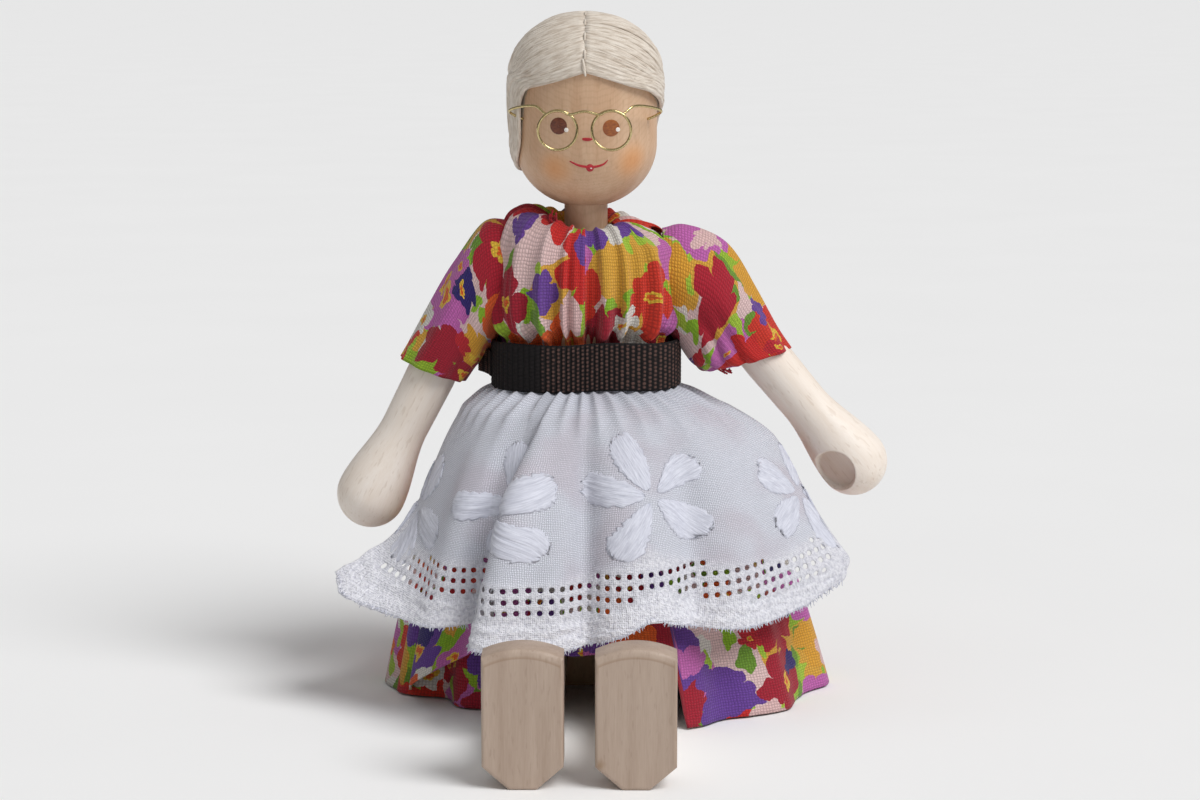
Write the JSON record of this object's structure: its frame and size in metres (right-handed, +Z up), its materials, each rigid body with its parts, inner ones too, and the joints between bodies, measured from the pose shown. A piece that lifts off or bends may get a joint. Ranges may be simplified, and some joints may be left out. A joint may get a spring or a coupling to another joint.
{
  "type": "miniature doll",
  "caption": "Dressed miniature doll of turned wood with jointed head, arms and legs, seated, with yarn hair, wire spectacles, print dress, belt and lace-edged apron.",
  "frame": {"origin": "on the ground under the middle of the torso, where the doll sits", "axes": "+Z up, the doll faces -Y, its own left side is +X"},
  "size_m": [0.0698, 0.0777, 0.0854],
  "materials": {
    "maple": "pale sanded turned wood under a thin clear wax",
    "beech": "pinkish sawn and sanded board, bare",
    "steel": "drawn wire, plain",
    "brass": "bright bent wire",
    "yarn": "cream wool yarn laid in strands",
    "print": "plain-weave cotton with a bright floral print",
    "batiste": "fine white cotton with embroidery and an eyelet edge",
    "tape": "dark brown ribbed woven tape"
  },
  "bodies": {
    "torso": {"torso_block": "beech", "hip_axle": "steel", "neck_dowel": "maple", "dress_bodice": "print", "dress_skirt": "print", "apron": "batiste", "waist_belt": "tape"},
    "head": {"head": "maple", "hair_cap": "yarn", "hair_roll": "yarn", "spectacles": "brass"},
    "left_shoulder": {"left_shoulder_peg": "beech"},
    "left_arm": {"left_arm": "maple", "left_arm_pin": "steel", "left_sleeve": "print"},
    "right_shoulder": {"right_shoulder_peg": "beech"},
    "right_arm": {"right_arm": "maple", "right_arm_pin": "steel", "right_sleeve": "print"},
    "left_leg": {"left_leg": "maple", "left_foot": "beech", "left_foot_dowel": "maple"},
    "right_leg": {"right_leg": "maple", "right_foot": "beech", "right_foot_dowel": "maple"}
  },
  "joints": [
    {"name": "head_turn", "type": "hinge", "parent": "torso", "child": "head", "pos_m": [0, 0, 0.0605], "axis": [0, 0, 1], "continuous": true},
    {"name": "left_arm_swing", "type": "hinge", "parent": "torso", "child": "left_shoulder", "pos_m": [0.0118, 0, 0.0545], "axis": [-1, 0, 0], "range_deg": [-40, 120]},
    {"name": "left_arm_spread", "type": "hinge", "parent": "left_shoulder", "child": "left_arm", "pos_m": [0.0118, 0, 0.0545], "axis": [0, -1, 0], "range_deg": [-5, 50], "deforming": ["left_sleeve"]},
    {"name": "right_arm_swing", "type": "hinge", "parent": "torso", "child": "right_shoulder", "pos_m": [-0.0118, 0, 0.0545], "axis": [-1, 0, 0], "range_deg": [-40, 120]},
    {"name": "right_arm_spread", "type": "hinge", "parent": "right_shoulder", "child": "right_arm", "pos_m": [-0.0118, 0, 0.0545], "axis": [0, 1, 0], "range_deg": [-2, 63], "deforming": ["right_sleeve"]},
    {"name": "left_hip", "type": "hinge", "parent": "torso", "child": "left_leg", "pos_m": [0.0063, 0, 0.0042], "axis": [1, 0, 0], "range_deg": [0, 90]},
    {"name": "right_hip", "type": "hinge", "parent": "torso", "child": "right_leg", "pos_m": [-0.0063, 0, 0.0042], "axis": [1, 0, 0], "range_deg": [0, 90]}
  ]
}
